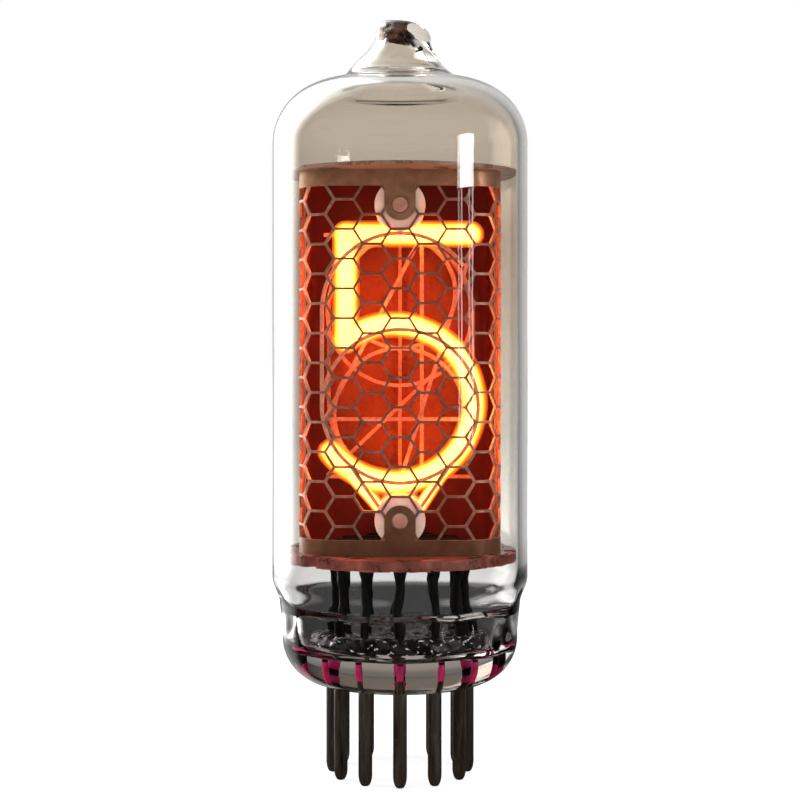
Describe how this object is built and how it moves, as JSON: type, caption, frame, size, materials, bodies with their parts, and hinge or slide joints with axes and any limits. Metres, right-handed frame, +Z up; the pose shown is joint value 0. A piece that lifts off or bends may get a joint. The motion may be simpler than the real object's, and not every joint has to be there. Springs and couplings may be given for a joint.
{
  "type": "cold-cathode numeral display tube",
  "caption": "Side-view glow numeral tube: clear glass bulb with sealed tip, honeycomb anode over a stack of numeral cathodes between mica discs, and a ring of base pins.",
  "frame": {"origin": "on the tube's axis at the level of the pin tips", "axes": "+Z up along the tube's axis from the pins to the sealed tip, -Y towards the viewer, +X to the viewer's right"},
  "size_m": [0.0285, 0.0284, 0.084],
  "materials": {
    "bulb_glass": "clear, fire polished",
    "stem_glass": "clear, pressed",
    "pin_metal": "dark oxide, drawn",
    "seal_copper": "red oxide under glass",
    "lead_wire": "dark drawn wire",
    "mica": "split sheet",
    "anode_sheet": "etched, dull",
    "shield_sheet": "dull sheet",
    "rod_ceramic": "ground",
    "spacer_ceramic": "fired white",
    "cathode_sheet": "etched, dull",
    "cathode_lit": "etched, glowing"
  },
  "bodies": {
    "root": {"glass_bulb": "bulb_glass", "glass_stem": "stem_glass", "pin_01": "pin_metal", "pin_02": "pin_metal", "pin_03": "pin_metal", "pin_04": "pin_metal", "pin_05": "pin_metal", "pin_06": "pin_metal", "pin_07": "pin_metal", "pin_08": "pin_metal", "pin_09": "pin_metal", "pin_10": "pin_metal", "pin_11": "pin_metal", "pin_12": "pin_metal", "seal_01": "seal_copper", "seal_02": "seal_copper", "seal_03": "seal_copper", "seal_04": "seal_copper", "seal_05": "seal_copper", "seal_06": "seal_copper", "seal_07": "seal_copper", "seal_08": "seal_copper", "seal_09": "seal_copper", "seal_10": "seal_copper", "seal_11": "seal_copper", "seal_12": "seal_copper", "lead_01": "lead_wire", "lead_02": "lead_wire", "lead_03": "lead_wire", "lead_04": "lead_wire", "lead_05": "lead_wire", "lead_06": "lead_wire", "lead_07": "lead_wire", "lead_08": "lead_wire", "lead_09": "lead_wire", "lead_10": "lead_wire", "lead_11": "lead_wire", "lead_12": "lead_wire", "bottom_mica": "mica", "top_mica": "mica", "anode_grid": "anode_sheet", "rear_shield": "shield_sheet", "lower_rod": "rod_ceramic", "upper_rod": "rod_ceramic", "lower_spacers": "spacer_ceramic", "upper_spacers": "spacer_ceramic", "cathode_0": "cathode_sheet", "cathode_1": "cathode_sheet", "cathode_2": "cathode_sheet", "cathode_3": "cathode_sheet", "cathode_4": "cathode_sheet", "cathode_5": "cathode_lit", "cathode_6": "cathode_sheet", "cathode_7": "cathode_sheet", "cathode_8": "cathode_sheet", "cathode_9": "cathode_sheet"}
  },
  "joints": []
}
